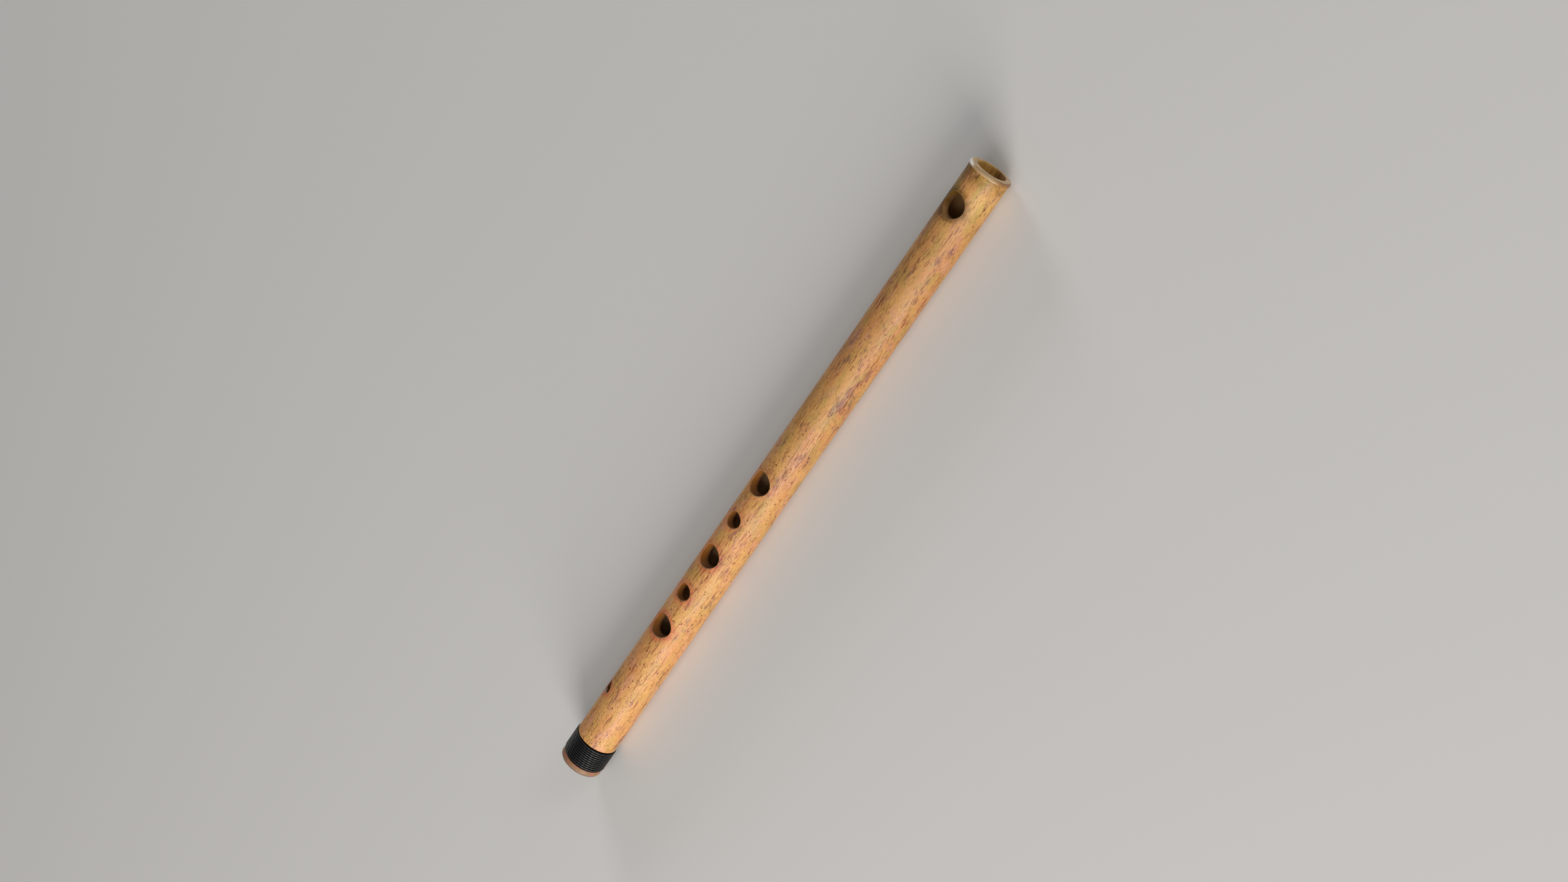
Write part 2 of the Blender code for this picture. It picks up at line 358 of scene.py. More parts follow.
class Nodes:
    """Short calls for building a material's node tree."""

    def __init__(self, name, specular=0.5):
        self.material = bpy.data.materials.new(name)
        self.material.use_nodes = True
        self.tree = self.material.node_tree
        self.shader = self.tree.nodes["Principled BSDF"]
        self.shader.inputs["Specular IOR Level"].default_value = specular
        self.place = self.position()
        self.x, self.y, self.z = self.split(self.place)

    def link(self, source, socket):
        """Link a socket, or set a plain value."""
        if isinstance(source, bpy.types.NodeSocket):
            self.tree.links.new(source, socket)
        elif isinstance(source, tuple) and len(source) == 3 and socket.type == "RGBA":
            socket.default_value = (*source, 1.0)
        else:
            socket.default_value = source

    def position(self):
        """The surface's own place in millimetres, with the flute's axis at height 0."""
        place = self.tree.nodes.new("ShaderNodeTexCoord").outputs["Object"]
        axis = self.vector("SUBTRACT", place, (0.0, 0.0, AXIS_HEIGHT))
        scaled = self.tree.nodes.new("ShaderNodeVectorMath")
        scaled.operation = "SCALE"
        self.link(axis, scaled.inputs[0])
        scaled.inputs["Scale"].default_value = 1 / MM
        return scaled.outputs[0]

    def vector(self, operation, first, second=(0.0, 0.0, 0.0)):
        node = self.tree.nodes.new("ShaderNodeVectorMath")
        node.operation = operation
        self.link(first, node.inputs[0])
        self.link(second, node.inputs[1])
        return node.outputs["Value"] if operation == "LENGTH" else node.outputs[0]

    def math(self, operation, first, second=0.0):
        node = self.tree.nodes.new("ShaderNodeMath")
        node.operation = operation
        self.link(first, node.inputs[0])
        self.link(second, node.inputs[1])
        return node.outputs[0]

    def plus(self, first, second):
        return self.math("ADD", first, second)

    def minus(self, first, second):
        return self.math("SUBTRACT", first, second)

    def times(self, first, second):
        return self.math("MULTIPLY", first, second)

    def split(self, vector):
        node = self.tree.nodes.new("ShaderNodeSeparateXYZ")
        self.link(vector, node.inputs[0])
        return node.outputs

    def noise(self, vector, scale, detail=2.0, roughness=0.5, distortion=0.0):
        node = self.tree.nodes.new("ShaderNodeTexNoise")
        self.link(vector, node.inputs["Vector"])
        node.inputs["Scale"].default_value = scale
        node.inputs["Detail"].default_value = detail
        node.inputs["Roughness"].default_value = roughness
        node.inputs["Distortion"].default_value = distortion
        return node.outputs

    def voronoi(self, vector, scale):
        node = self.tree.nodes.new("ShaderNodeTexVoronoi")
        self.link(vector, node.inputs["Vector"])
        node.inputs["Scale"].default_value = scale
        return node.outputs

    def band(self, value, low, high, to_low=0.0, to_high=1.0):
        """A smooth step of value between low and high."""
        node = self.tree.nodes.new("ShaderNodeMapRange")
        node.interpolation_type = "SMOOTHSTEP"
        self.link(value, node.inputs["Value"])
        node.inputs["From Min"].default_value = low
        node.inputs["From Max"].default_value = high
        node.inputs["To Min"].default_value = to_low
        node.inputs["To Max"].default_value = to_high
        return node.outputs["Result"]

    def mix(self, factor, first, second, blend="MIX"):
        node = self.tree.nodes.new("ShaderNodeMix")
        node.data_type = "RGBA"
        node.blend_type = blend
        self.link(factor, node.inputs["Factor"])
        self.link(first, node.inputs["A"])
        self.link(second, node.inputs["B"])
        return node.outputs["Result"]

    def stain(self, color, factor, tint):
        return self.mix(factor, color, tint, "MULTIPLY")

    def centred(self, noise_color, reach):
        """A shift to both sides by a noise's colour, up to half of reach."""
        return self.vector("MULTIPLY", self.vector("SUBTRACT", noise_color, (0.5, 0.5, 0.5)), reach)

    def stretched(self, vector, along, offset=0.0):
        """The place with lengths along the flute divided by along, for marks that run with the grain."""
        scaled = self.vector("MULTIPLY", vector, (1.0 / along, 1.0, 1.0))
        return self.vector("ADD", scaled, (offset, offset * 0.7, -offset))

    def radius(self):
        """Millimetres from the flute's axis."""
        return self.vector("LENGTH", self.vector("MULTIPLY", self.place, SIDEWAYS))

    def toward_back(self):
        """Millimetres from the flute's axis towards its upper back."""
        return self.plus(self.times(self.y, BACK_SHARE), self.times(self.z, UP_SHARE))

    def at_blow_hole(self):
        return self.band(self.x, *BLOW_HOLE_ZONE)

    def at_foot(self):
        return self.math("LESS_THAN", self.x, 0.0)

    def bump(self, height, distance, strength):
        node = self.tree.nodes.new("ShaderNodeBump")
        node.inputs["Strength"].default_value = strength
        node.inputs["Distance"].default_value = distance
        self.link(height, node.inputs["Height"])
        return node.outputs["Normal"]

    def finish(self, color, roughness, normal):
        self.link(color, self.shader.inputs["Base Color"])
        self.link(roughness, self.shader.inputs["Roughness"])
        self.link(normal, self.shader.inputs["Normal"])
        return self.material


class SkinNodes(Nodes):
    """The nodes of the skin, whose marks run with a grain that wanders a little to each side."""

    def __init__(self, name, specular):
        super().__init__(name, specular)
        wander = self.noise(self.stretched(self.place, 7.0), 0.16)["Color"]
        ripple = self.noise(self.stretched(self.place, 3.0, 7.0), 0.55)["Color"]
        wander = self.centred(wander, (0.0, 3.0, 3.0))
        ripple = self.centred(ripple, (0.0, 0.5, 0.5))
        self.grain = self.vector("ADD", self.place, self.vector("ADD", wander, ripple))
        self.headward = self.band(self.x, *HEADWARD_ZONE)

    def fibres(self, along, scale, offset, detail=3.0):
        """Noise drawn out along the grain."""
        return self.noise(self.stretched(self.grain, along, offset), scale, detail, FIBRE_ROUGHNESS)["Fac"]

    def clustered(self, marks, cloud, pull, low, high):
        """The marks, kept where the cloud is dense."""
        shift = self.times(self.minus(cloud, 0.5), pull)
        return self.band(self.plus(marks, shift), low, high)

    def hole_distance(self):
        """Millimetres from the nearest hole's rim, along the skin, and less than 0 inside it."""
        nearest = None
        for hole in HOLES:
            angle = math.radians(hole.turn)
            half_length, half_width = hole.half_length / MM, hole.half_width / MM
            along = self.math("DIVIDE", self.minus(self.x, (HEAD_X - hole.centre) / MM), half_length)
            side_y = self.times(self.y, math.cos(angle) / half_width)
            side_z = self.times(self.z, math.sin(angle) / half_width)
            across = self.minus(side_y, side_z)
            squares = self.plus(self.times(along, along), self.times(across, across))
            reach = self.times(self.minus(self.math("SQRT", squares), 1.0), half_length)
            up = self.plus(self.times(self.y, math.sin(angle)), self.times(self.z, math.cos(angle)))
            behind = self.times(self.math("LESS_THAN", up, 0.0), FAR_AWAY)
            reach = self.plus(reach, behind)
            nearest = reach if nearest is None else self.math("MINIMUM", nearest, reach)
        return nearest

    def specks(self):
        """Dark specks of two sizes, a little ragged."""
        ragged = self.centred(self.noise(self.place, 1.6)["Color"], (0.9, 0.7, 0.7))
        rough_place = self.vector("ADD", self.place, ragged)
        dots = None
        for specks in SPECKS:
            cells = self.voronoi(self.stretched(rough_place, 1.30, specks.offset), specks.scale)
            chance = self.split(cells["Color"])
            spread = self.times(self.band(chance[1], 0.0, 1.0, 0.45, 1.0), specks.size)
            dot = self.band(self.minus(spread, cells["Distance"]), -0.03, 0.05)
            dot = self.times(dot, self.math("LESS_THAN", chance[0], specks.share))
            dots = dot if dots is None else self.math("MAXIMUM", dots, dot)
        return self.times(dots, self.band(self.headward, 0.3, 1.0, 0.88, 0.50))


def skin_ground(skin):
    """Broad tones of gold, orange, pink and olive, duller at the head than at the foot."""
    tone = skin.fibres(along=3.2, scale=0.14, offset=0.0)
    color = skin.mix(skin.band(tone, 0.38, 0.64), GOLD, ORANGE)
    pink = skin.fibres(along=2.8, scale=0.17, offset=57.0, detail=4.0)
    color = skin.mix(skin.band(pink, 0.51, 0.65, 0.0, 0.80), color, PINK)
    olive = skin.fibres(along=2.6, scale=0.20, offset=31.0)
    olive = skin.times(skin.band(olive, 0.50, 0.64), skin.band(skin.headward, 0.0, 1.0, 0.45, 0.75))
    color = skin.mix(olive, color, OLIVE)
    return skin.stain(color, skin.band(skin.headward, 0.1, 1.0), DULL_HEAD)


def skin_grain(skin, color, fine):
    """Fine grain, darker and paler than the ground."""
    dark = skin.times(skin.band(fine, 0.60, 0.36, 0.0, 0.60), skin.band(skin.headward, 0.3, 1.0, 1.0, 0.75))
    color = skin.stain(color, dark, DARK_GRAIN)
    pale = skin.fibres(along=4.5, scale=1.6, offset=19.0)
    return skin.stain(color, skin.band(pale, 0.54, 0.72, 0.0, 0.7), PALE_GRAIN)


def skin_dashes(skin, color, dashes):
    """Short dashes in clusters, brown ones and mauve ones, with a mauve haze round the second kind."""
    brown_cloud = skin.fibres(along=2.6, scale=0.13, offset=63.0)
    brown = skin.clustered(dashes, brown_cloud, 0.60, 0.555, 0.68)
    color = skin.stain(color, skin.times(brown, 0.72), BROWN_DASH)
    hatch = skin.fibres(along=5.2, scale=1.5, offset=83.0)
    mauve_cloud = skin.fibres(along=3.4, scale=0.22, offset=71.0)
    mauve = skin.clustered(hatch, mauve_cloud, 1.00, 0.590, 0.70)
    color = skin.stain(color, skin.times(mauve, 0.80), MAUVE_DASH)
    return skin.stain(color, skin.band(mauve_cloud, 0.56, 0.72, 0.0, 0.30), MAUVE_HAZE)


def skin_handling(skin, color):
    """Reddened skin at the finger holes, a grey-green stain round the blow hole, worn hole edges, and a
    painted highlight on the last hole's lip.
    """
    reach = skin.hole_distance()
    patchy = skin.fibres(along=1.6, scale=0.55, offset=43.0)
    spread = skin.plus(reach, skin.times(skin.minus(patchy, 0.5), 7.0))
    fingered = skin.band(skin.x, *FINGER_HOLE_ZONE, 0.85, 0.35)
    strength = skin.plus(fingered, skin.band(skin.x, *BLOW_HOLE_ZONE, 0.0, 0.58))
    halo = skin.times(skin.band(spread, 0.3, 4.2, 1.0, 0.0), strength)
    color = skin.stain(color, halo, skin.mix(skin.at_blow_hole(), REDDENED, DAMP_STAIN))
    worn = skin.mix(skin.band(skin.y, -1.5, 3.0), WORN_FRONT, WORN_BACK)
    color = skin.mix(skin.band(reach, 0.0, 0.70, 0.80, 0.0), color, worn)
    # A painted highlight on the foot-side lip of the last hole.
    lip = skin.times(skin.band(reach, -0.1, 0.3, 1.0, 0.0), skin.band(skin.x, *LIP_ZONE))
    return skin.mix(lip, color, LIP_PAINTED_HIGHLIGHT)


def skin_ends(skin, color):
    """The head's end, paler and yellower on its front, with painted shade on its back and dirt and painted
    shade under its rim, and the foot, rubbed pink past the cord.
    """
    pale_end = skin.times(skin.band(skin.x, *PALE_ZONE), skin.band(skin.y, 3.0, -2.0))
    color = skin.stain(color, pale_end, PALE_END)
    # Painted shade on the back of the head's end.
    painted_back_shade = skin.times(skin.band(skin.x, *DULL_ZONE), skin.band(skin.y, 0.5, 5.0))
    color = skin.stain(color, painted_back_shade, BACK_PAINTED_SHADE)
    # Dirt and painted shade, in patches, under the rim.
    patches = skin.noise(skin.stretched(skin.place, 1.2, 13.0), 0.55, 4.0, 0.65)["Fac"]
    dirt = skin.times(skin.band(skin.x, *UNDER_RIM_ZONE), skin.band(patches, 0.36, 0.62, 0.50, 1.0))
    color = skin.stain(color, dirt, RIM_DIRT_AND_SHADE)
    rubbed = skin.noise(skin.vector("MULTIPLY", skin.place, (1.0, 0.40, 0.40)), 0.9, 4.0, 0.6)["Fac"]
    blush = skin.mix(skin.band(rubbed, 0.44, 0.54), RUBBED_PINK, RUBBED_BROWN)
    color = skin.mix(skin.band(skin.x, *BLUSH_ZONE, 0.0, 0.85), color, blush)
    return skin.mix(skin.band(skin.x, *FOOT_EDGE_ZONE, 0.0, 0.55), color, FOOT_EDGE)


def bamboo_skin():
    skin = SkinNodes("bamboo_skin", specular=0.35)
    fine = skin.fibres(along=5.0, scale=2.9, offset=11.0)
    dashes = skin.fibres(along=5.6, scale=1.7, offset=5.0)
    color = skin_dashes(skin, skin_grain(skin, skin_ground(skin), fine), dashes)

    # Long brown streaks, and the specks over them.
    streaks = skin.fibres(along=15.0, scale=1.15, offset=97.0)
    streak_cloud = skin.fibres(along=4.0, scale=0.17, offset=101.0)
    streak = skin.clustered(streaks, streak_cloud, 0.55, 0.585, 0.665)
    color = skin.stain(color, skin.times(streak, 0.80), BROWN_STREAK)
    dots = skin.specks()
    color = skin.stain(color, dots, DARK_SPECK)
    color = skin_ends(skin, skin_handling(skin, color))

    # Painted shade darkens the cord's seat, seen in the gaps between its turns.
    sunk = skin.math("LESS_THAN", skin.radius(), SEAT_BELOW)
    seat = skin.times(sunk, skin.math("LESS_THAN", skin.x, SEAT_BEGINS))
    color = skin.stain(color, seat, SEAT_PAINTED_SHADE)

    rough = skin.plus(skin.band(dashes, 0.3, 0.7, 0.42, 0.54), skin.times(dots, 0.15))
    height = skin.plus(skin.times(dashes, 0.5), skin.times(fine, 0.5))
    height = skin.minus(height, skin.times(dots, 0.6))
    height = skin.minus(height, skin.times(streak, 0.3))
    skin.shader.inputs["Sheen Weight"].default_value = 0.10
    skin.shader.inputs["Sheen Roughness"].default_value = 0.25
    return skin.finish(color, rough, skin.bump(height, 0.12 * MM, 0.6))


def bamboo_rim():
    """The cut ends of the culm, where the skin is turned away and the fibres run round."""
    nodes = Nodes("bamboo_rim", specular=0.9)
    radius = nodes.radius()
    turned = nodes.noise(nodes.vector("MULTIPLY", nodes.place, (2.6, 0.16, 0.16)), 1.0, 4.0, 0.65)["Fac"]
    rings = nodes.math("SINE", nodes.plus(nodes.times(radius, 7.5), nodes.times(turned, 9.0)))
    tone = nodes.noise(nodes.place, 0.22, 3.0, 0.6)["Fac"]
    pores = nodes.noise(nodes.place, 2.6, 4.0, 0.7)["Fac"]
    color = nodes.mix(nodes.band(tone, 0.38, 0.62), RIM_PALE, RIM_DARK)
    color = nodes.mix(nodes.band(turned, 0.42, 0.66, 0.0, 0.60), color, RIM_TURNED)
    color = nodes.mix(nodes.band(rings, 0.2, 1.0, 0.0, 0.30), color, RIM_RING)
    color = nodes.mix(nodes.band(pores, 0.52, 0.72, 0.0, 0.50), color, RIM_PORE)

    # The face is paler than the ridge, and the ridge has painted shade below and a painted highlight above.
    ridge = nodes.band(radius, 10.3, 11.1)
    toward_back = nodes.toward_back()
    at_foot = nodes.at_foot()
    color = nodes.mix(ridge, nodes.stain(color, 1.0, RIM_FACE), color)
    color = nodes.stain(color, nodes.times(nodes.band(toward_back, 0.0, -9.0), ridge), RIM_PAINTED_SHADE)
    color = nodes.stain(color, at_foot, RIM_FOOT)
    shine = nodes.mix(at_foot, HEAD_PAINTED_HIGHLIGHT, FOOT_PAINTED_HIGHLIGHT)
    color = nodes.mix(nodes.times(nodes.band(toward_back, 7.5, 10.5, 0.0, 0.90), ridge), color, shine)
    height = nodes.plus(turned, nodes.times(pores, 0.4))
    return nodes.finish(color, 0.31, nodes.bump(height, 0.14 * MM, 0.7))


def bamboo_inside():
    """Raw bamboo of the bore, yellow at its ends, with painted light above and painted shade below there, and
    painted shade deeper in but for painted light on the side seen through the holes.
    """
    nodes = Nodes("bamboo_inside", specular=0.2)
    lines = nodes.noise(nodes.stretched(nodes.place, 14.0, 23.0), 1.3, 4.0, 0.65)["Fac"]
    grain = nodes.band(lines, 0.35, 0.66)
    # Painted light on the upper side near the ends, painted shade on the lower side.
    upper = nodes.mix(grain, *BORE_UPPER_PAINTED_LIGHT)
    lower = nodes.mix(grain, *BORE_LOWER_PAINTED_SHADE)
    color = nodes.mix(nodes.band(nodes.toward_back(), 0.0, -4.5), upper, lower)
    color = nodes.stain(color, nodes.at_foot(), BORE_FOOT)
    at_blow_hole = nodes.at_blow_hole()
    lit = nodes.mix(at_blow_hole, *BORE_INSIDE_PAINTED_LIGHT)
    unlit = nodes.mix(at_blow_hole, *BORE_INSIDE_PAINTED_SHADE)
    # Deep inside: painted light on the side seen through the holes, painted shade elsewhere.
    deep = nodes.mix(nodes.band(nodes.y, 4.0, 7.0), unlit, lit)
    from_end = nodes.minus(LENGTH / 2 / MM, nodes.math("ABSOLUTE", nodes.x))
    color = nodes.mix(nodes.band(from_end, 8.0, 16.0, 0.0, 0.90), color, deep)
    return nodes.finish(color, 0.75, nodes.bump(lines, 0.15 * MM, 0.6))


def bamboo_hole_wall():
    """The drilled wall: ochre end grain on its far side, browner elsewhere, scored by the drill, with painted
    shade and a lip's painted highlight.
    """
    nodes = Nodes("bamboo_hole_wall", specular=0.1)
    radius = nodes.radius()
    scores = nodes.noise(nodes.vector("MULTIPLY", nodes.place, (0.8, 0.8, 0.12)), 1.1, 3.0, 0.6)["Fac"]
    broad = nodes.noise(nodes.place, 0.22)["Fac"]
    ochre = nodes.mix(nodes.band(broad, 0.38, 0.62), *WALL_OCHRE)
    color = nodes.mix(nodes.band(nodes.y, 0.0, 4.5), WALL_FRONT, ochre)
    blow_wall = nodes.mix(nodes.band(nodes.x, *OLIVE_ZONE), *BLOW_WALL)
    color = nodes.mix(nodes.at_blow_hole(), color, blow_wall)
    color = nodes.mix(nodes.band(scores, 0.42, 0.70, 0.0, 0.40), color, WALL_SCORE)
    # Painted shade deeper in the wall and on its front side.
    color = nodes.mix(nodes.band(radius, 7.3, 9.3, 0.75, 0.0), color, WALL_DEPTH_SHADE)
    color = nodes.mix(nodes.band(nodes.y, 0.5, -4.0, 0.0, 0.80), color, WALL_SHADE)
    # A painted highlight on the foot-side lip of the last hole's wall.
    lip = nodes.times(nodes.band(nodes.x, *WALL_LIP_ZONE), nodes.band(radius, 10.0, 11.0))
    color = nodes.mix(lip, color, WALL_LIP_PAINTED_HIGHLIGHT)
    return nodes.finish(color, 0.6, nodes.bump(scores, 0.10 * MM, 0.4))


def waxed_cord():
    """Black waxed cord flecked with grey fibres, with painted shade in the crevices between its turns."""
    nodes = Nodes("waxed_cord", specular=0.45)
    fibres = nodes.noise(nodes.place, 5.5, 4.0, 0.7, 0.6)["Fac"]
    color = nodes.mix(nodes.band(fibres, 0.40, 0.72), CORD_BLACK, CORD_GREY)
    # Painted shade in the crevices between the turns.
    color = nodes.mix(nodes.band(nodes.radius(), 12.04, 12.39), CORD_CREVICE_SHADE, color)
    rough = nodes.band(fibres, 0.3, 0.7, 0.30, 0.50)
    return nodes.finish(color, rough, nodes.bump(fibres, 0.08 * MM, 0.6))


def cork():
    """Cork: pale walls round its cells, with dark pores."""
    nodes = Nodes("cork")
    tone = nodes.noise(nodes.place, 0.35, 4.0, 0.65)["Fac"]
    color = nodes.mix(nodes.band(tone, 0.35, 0.68), CORK_PALE, CORK_DARK)
    cells = nodes.voronoi(nodes.place, 2.2)
    color = nodes.mix(nodes.band(cells["Distance"], 0.35, 0.8, 0.0, 0.45), color, CORK_WALLS)
    pores = nodes.noise(nodes.vector("MULTIPLY", nodes.place, (1.0, 1.0, 2.2)), 0.95, 4.0, 0.7)["Fac"]
    pore = nodes.band(pores, 0.60, 0.68)
    color = nodes.mix(nodes.times(pore, 0.85), color, CORK_PORE)
    height = nodes.minus(nodes.times(cells["Distance"], 0.3), pore)
    return nodes.finish(color, 0.85, nodes.bump(height, 0.25 * MM, 0.8))


# ---------------------------------------------------------------- the culm


def tube_radius(distance):
    return HEAD_RADIUS + FOOT_SWELL * (distance / LENGTH) ** SWELL_POWER


def wobble(distance, angle):
    """The culm isn't quite round: a few hundredths of a millimetre, fading out before its ends."""
    fade = min(1.0, max(0.0, distance - WOBBLE_MARGIN) / WOBBLE_FADE)
    fade *= min(1.0, max(0.0, SEAT_START - distance) / WOBBLE_FADE)
    along = distance / LENGTH
    waves = [wave.share * math.sin(wave.lobes * angle + wave.drift * along + wave.start) for wave in WAVES]
    return WOBBLE * fade * sum(waves)


def outer_radius(distance, angle):
    return tube_radius(distance) + wobble(distance, angle)


def inner_radius(_distance, _angle):
    """The bore is round all along. It takes the same arguments as outer_radius."""
    return BORE_RADIUS


def skin_point(distance, angle, radius):
    return (HEAD_X - distance, radius * math.sin(angle), AXIS_HEIGHT + radius * math.cos(angle))


def mouth_path():
    """(distance from the end, radius) from the face in over the mouth's eased edge to the bore."""
    path = []
    for step in range(MOUTH_STEPS, -1, -1):
        angle = math.pi / 2 * step / MOUTH_STEPS
        depth = MOUTH_DEPTH * (1 - math.sin(angle)) + FACE_DOME
        path.append((depth, BORE_RADIUS + MOUTH_OPENING * (1 - math.cos(angle))))
    return path


def rim_path(face_radius, ridge_radius, flare, end_radius):
    """(distance from the end, radius) over a rim: its domed face, the roll, the ridge and the flare."""
    mouth_radius = BORE_RADIUS + MOUTH_OPENING
    path = []
    for step in range(1, FACE_STEPS):
        part = step / FACE_STEPS
        sink = FACE_DOME * (2 * part - 1) ** 2
        path.append((sink, mouth_radius + (face_radius - mouth_radius) * part))
    for step in range(ROLL_STEPS + 1):
        angle = math.pi / 2 * step / ROLL_STEPS
        distance = FACE_DOME + (RIDGE_DISTANCE - FACE_DOME) * (1 - math.cos(angle))
        path.append((distance, face_radius + (ridge_radius - face_radius) * math.sin(angle)))
    for step in range(1, FLARE_STEPS + 1):
        part = step / FLARE_STEPS
        radius = end_radius + (ridge_radius - end_radius) * (1 - part) ** FLARE_POWER
        path.append((RIDGE_DISTANCE + flare * part, radius))
    return path


def mirrored(path):
    """The same path at the foot, with its points in the opposite order."""
    return [(LENGTH - distance, radius) for distance, radius in reversed(path)]


def evenly(start, end, count):
    return [start + (end - start) * (index + 1) / count for index in range(count)]


def window_cells(hole, cells):
    """The cells of a hole's window along the tube, and across it to each side."""
    if hole.half_width > WIDE_HOLE:
        return cells.along_wide, cells.across_wide
    return cells.along_narrow, cells.across_narrow


def plain_rows(start, end, step, cells):
    """Distances of the rows along the plain tube, and each window's first row, last row and cells across."""
    distances = [start]
    windows = []
    for hole in HOLES:
        along, across = window_cells(hole, cells)
        before = hole.centre - hole.half_length - WINDOW_MARGIN
        after = hole.centre + hole.half_length + WINDOW_MARGIN
        distances += evenly(distances[-1], before, max(1, round((before - distances[-1]) / step)))
        first = len(distances) - 1
        distances += evenly(before, after, along)
        windows.append((first, len(distances) - 1, across))
    distances += evenly(distances[-1], end, max(1, round((end - distances[-1]) / step)))
    return distances, windows


def turned_skin(shape, path, windows, material_of):
    """Faces over the path's rows, but for the windows.

    Returns the rows of vertices, and each window's border as a list of (vertex, distance, angle).
    """
    middles = [round(math.radians(hole.turn) / CELL_ANGLE) for hole in HOLES]
    cut = set()
    empty = set()
    for (first, last, across), middle in zip(windows, middles):
        for row in range(first, last):
            for column in range(middle - across, middle + across):
                cut.add((row, column % AROUND))
                if row > first and column > middle - across:
                    empty.add((row, column % AROUND))
    rows = []
    for row, (distance, radius) in enumerate(path):
        ring = []
        for column in range(AROUND):
            angle = column * CELL_ANGLE
            unround = wobble(distance, angle) if radius > HEAD_FACE_RADIUS else 0.0
            point = skin_point(distance, angle, radius + unround)
            ring.append(None if (row, column) in empty else shape.verts.new(point))
        rows.append(ring)
    for row in range(len(path) - 1):
        for column in range(AROUND):
            if (row, column) in cut:
                continue
            after = (column + 1) % AROUND
            corners = (rows[row][column], rows[row][after], rows[row + 1][after], rows[row + 1][column])
            shape.faces.new(corners).material_index = material_of(path[row][0])
    borders = []
    for (first, last, across), middle in zip(windows, middles):
        low, high = middle - across, middle + across
        spots = [(first, column) for column in range(low, high)]
        spots += [(row, high) for row in range(first, last)]
        spots += [(last, column) for column in range(high, low, -1)]
        spots += [(row, low) for row in range(last, first, -1)]
        border = [(rows[row][column % AROUND], path[row][0], column * CELL_ANGLE) for row, column in spots]
        borders.append(border)
    return rows, borders


def join_rings(shape, first, second, material):
    for index in range(len(first)):
        after = (index + 1) % len(first)
        corners = (first[index], first[after], second[after], second[index])
        shape.faces.new(corners).material_index = material


def on_oval(oval, bearing, offset=0.0):
    """(distance, place across the hole) of a point on an oval, or outside it by an offset."""
    distance = oval.centre + (oval.half_length + offset) * math.cos(bearing)
    return distance, oval.side + (oval.half_width + offset) * math.sin(bearing)


def hole_rings(shape, oval, border, surface_radius, ease, inward):
    """Rings from a window's border to a hole's eased edge: the last ring, and its vertices' bearings.

    The edge sinks towards the axis at the skin, where inward is 1, and away from it at the bore, where it is
    -1.
    """
    turn = math.radians(oval.turn)
    bearings = []
    for _, distance, angle in border:
        across = surface_radius(distance, angle) * math.sin(angle - turn) - oval.side
        bearings.append(math.atan2(across / oval.half_width, (distance - oval.centre) / oval.half_length))

    def at_edge(bearing, offset, depth):
        distance, across = on_oval(oval, bearing, offset)
        radius = surface_radius(distance, turn + math.asin(across / surface_radius(oval.centre, turn)))
        up = math.sqrt(radius * radius - across * across) - depth * inward
        return distance, math.atan2(across, up) + turn, math.hypot(across, up)

    previous = [vertex for vertex, _, _ in border]
    for layer in range(1, BLEND_LAYERS + 1):
        part = (layer / BLEND_LAYERS) ** BLEND_POWER
        ring = []
        for (_, distance, angle), bearing in zip(border, bearings):
            edge_distance, edge_angle, _ = at_edge(bearing, ease, 0.0)
            distance += (edge_distance - distance) * part
            angle += (edge_angle - angle) * part
            ring.append(shape.verts.new(skin_point(distance, angle, surface_radius(distance, angle))))
        join_rings(shape, previous, ring, SKIN if inward > 0 else INSIDE)
        previous = ring
    for step in range(1, EASE_STEPS + 1):
        angle = math.pi / 2 * step / EASE_STEPS
        offset, depth = ease * (1 - math.sin(angle)), ease * (1 - math.cos(angle))
        ring = [shape.verts.new(skin_point(*at_edge(bearing, offset, depth))) for bearing in bearings]
        join_rings(shape, previous, ring, SKIN if inward > 0 else HOLE_WALL)
        previous = ring
    return previous, bearings


def zip_rings(shape, first, first_bearings, second, second_bearings, material):
    """Triangles between two rings round one hole whose vertices are spaced differently."""
    full = 2 * math.pi
    start = first_bearings[0]
    first_turns = [(bearing - start) % full for bearing in first_bearings]
    second_turns = [(bearing - start) % full for bearing in second_bearings]
    if first_turns[1] > math.pi:
        first_turns = [(-turned) % full for turned in first_turns]
        second_turns = [(-turned) % full for turned in second_turns]
    lead = second_turns.index(min(second_turns))
    second = second[lead:] + second[:lead]
    second_turns = second_turns[lead:] + second_turns[:lead]
    first_turns.append(full)
    second_turns.append(full + second_turns[0])
    i = j = 0
    while i < len(first) or j < len(second):
        here, there = first[i % len(first)], second[j % len(second)]
        if j >= len(second) or (i < len(first) and first_turns[i + 1] <= second_turns[j + 1]):
            corners = (here, first[(i + 1) % len(first)], there)
            i += 1
        else:
            corners = (here, second[(j + 1) % len(second)], there)
            j += 1
        shape.faces.new(corners).material_index = material


def hole_wall(shape, hole, bore_end, outer, outer_bearings, inner, inner_bearings):
    """The drilled wall, from the outer ring down to just above the inner one."""
    turn = math.radians(hole.turn)
    previous = outer
    for layer in range(1, WALL_LAYERS + 1):
        part = layer / (WALL_LAYERS + 1)
        ring = []
        for vertex, bearing in zip(outer, outer_bearings):
            radius = math.hypot(vertex.co.y, vertex.co.z - AXIS_HEIGHT)
            distance, across = on_oval(hole, bearing)
            top = Vector((distance, across, math.sqrt(radius ** 2 - across ** 2)))
            distance, across = on_oval(bore_end, bearing)
            bottom = Vector((distance, across, math.sqrt(BORE_RADIUS ** 2 - across ** 2) + INNER_EASE))
            distance, across, up = top.lerp(bottom, part)
            point = skin_point(distance, math.atan2(across, up) + turn, math.hypot(across, up))
            ring.append(shape.verts.new(point))
        join_rings(shape, previous, ring, HOLE_WALL)
        previous = ring
    zip_rings(shape, previous, outer_bearings, inner, inner_bearings, HOLE_WALL)


